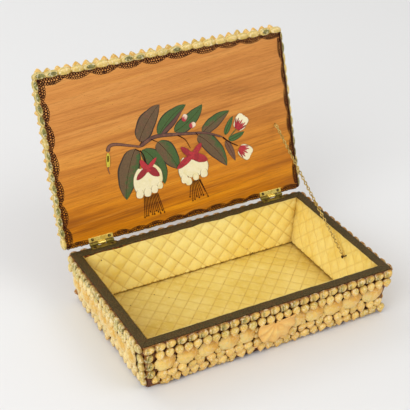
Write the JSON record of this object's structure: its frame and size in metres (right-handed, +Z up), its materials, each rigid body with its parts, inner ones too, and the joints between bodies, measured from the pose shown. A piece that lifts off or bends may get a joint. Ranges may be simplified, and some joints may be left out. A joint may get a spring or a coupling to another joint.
{
  "type": "shell box",
  "caption": "Tapered wooden box with a flat hinged lid standing open on a stay chain, its sides and lid edges set with rows of sea shells, padded inside.",
  "frame": {"origin": "centre of the box's underside, on the surface that it stands on", "axes": "+X along the length, to the right seen from the front; +Y from the front to the hinges; +Z up"},
  "size_m": [0.2596, 0.223, 0.2061],
  "materials": {
    "painted_wood": "old charcoal-brown paint, worn and speckled",
    "lid_wood": "amber varnish with a painted flower sprig and a lace of pen rings",
    "base_wood": "bare, dark with age",
    "quilting": "thin yellow vinyl, quilted in diamonds",
    "brass": "bright, dulled on the box leaves",
    "dark_screw": "tarnished dark",
    "nail": "dark, slightly rusty",
    "pale_shell": "cream and green shell, glossy",
    "gold_shell": "golden shell, glossy and a little translucent",
    "rose_shell": "peach and cream shell, satin"
  },
  "bodies": {
    "box": {"back_jingle_shells": "gold_shell", "back_lining": "quilting", "back_lower_shells": "rose_shell", "back_oval_shells": "pale_shell", "back_pointed_shells": "gold_shell", "back_wall": "painted_wood", "base_board": "base_wood", "chain_nail": "nail", "floor_lining": "quilting", "front_corner_shells": "pale_shell", "front_jingle_shells_left": "gold_shell", "front_jingle_shells_right": "gold_shell", "front_lining": "quilting", "front_lower_shells": "rose_shell", "front_oval_shells": "pale_shell", "front_pointed_shells": "gold_shell", "front_scallop": "rose_shell", "front_wall": "painted_wood", "left_corner_shells": "pale_shell", "left_hinge_box_leaf": "brass", "left_hinge_box_screw_1": "dark_screw", "left_hinge_box_screw_2": "dark_screw", "left_hinge_pin": "brass", "left_jingle_shells": "gold_shell", "left_lining": "quilting", "left_lower_shells": "rose_shell", "left_oval_shells": "pale_shell", "left_pointed_shells": "gold_shell", "left_wall": "painted_wood", "right_hinge_box_leaf": "brass", "right_hinge_box_screw_1": "dark_screw", "right_hinge_box_screw_2": "dark_screw", "right_hinge_pin": "brass", "right_jingle_shells": "gold_shell", "right_lining": "quilting", "right_lower_shells": "rose_shell", "right_oval_shells": "pale_shell", "right_pointed_shells": "gold_shell", "right_wall": "painted_wood", "stay_chain": "brass"},
    "lid": {"chain_eye": "brass", "left_hinge_lid_leaf": "brass", "left_hinge_lid_screw_1": "dark_screw", "left_hinge_lid_screw_2": "dark_screw", "lid_back_border_shells": "gold_shell", "lid_back_edge_shells": "pale_shell", "lid_board": "lid_wood", "lid_front_border_shells": "gold_shell", "lid_front_edge_shells": "pale_shell", "lid_left_border_shells": "gold_shell", "lid_left_edge_shells": "pale_shell", "lid_right_border_shells": "gold_shell", "lid_right_edge_shells": "pale_shell", "lid_rosette_shells": "rose_shell", "right_hinge_lid_leaf": "brass", "right_hinge_lid_screw_1": "dark_screw", "right_hinge_lid_screw_2": "dark_screw"}
  },
  "joints": [
    {"name": "lid_hinge", "type": "hinge", "parent": "box", "child": "lid", "pos_m": [0, 0.0791, 0.0518], "axis": [1, 0, 0], "range_deg": [0, 109.3], "deforming": ["stay_chain"]}
  ]
}
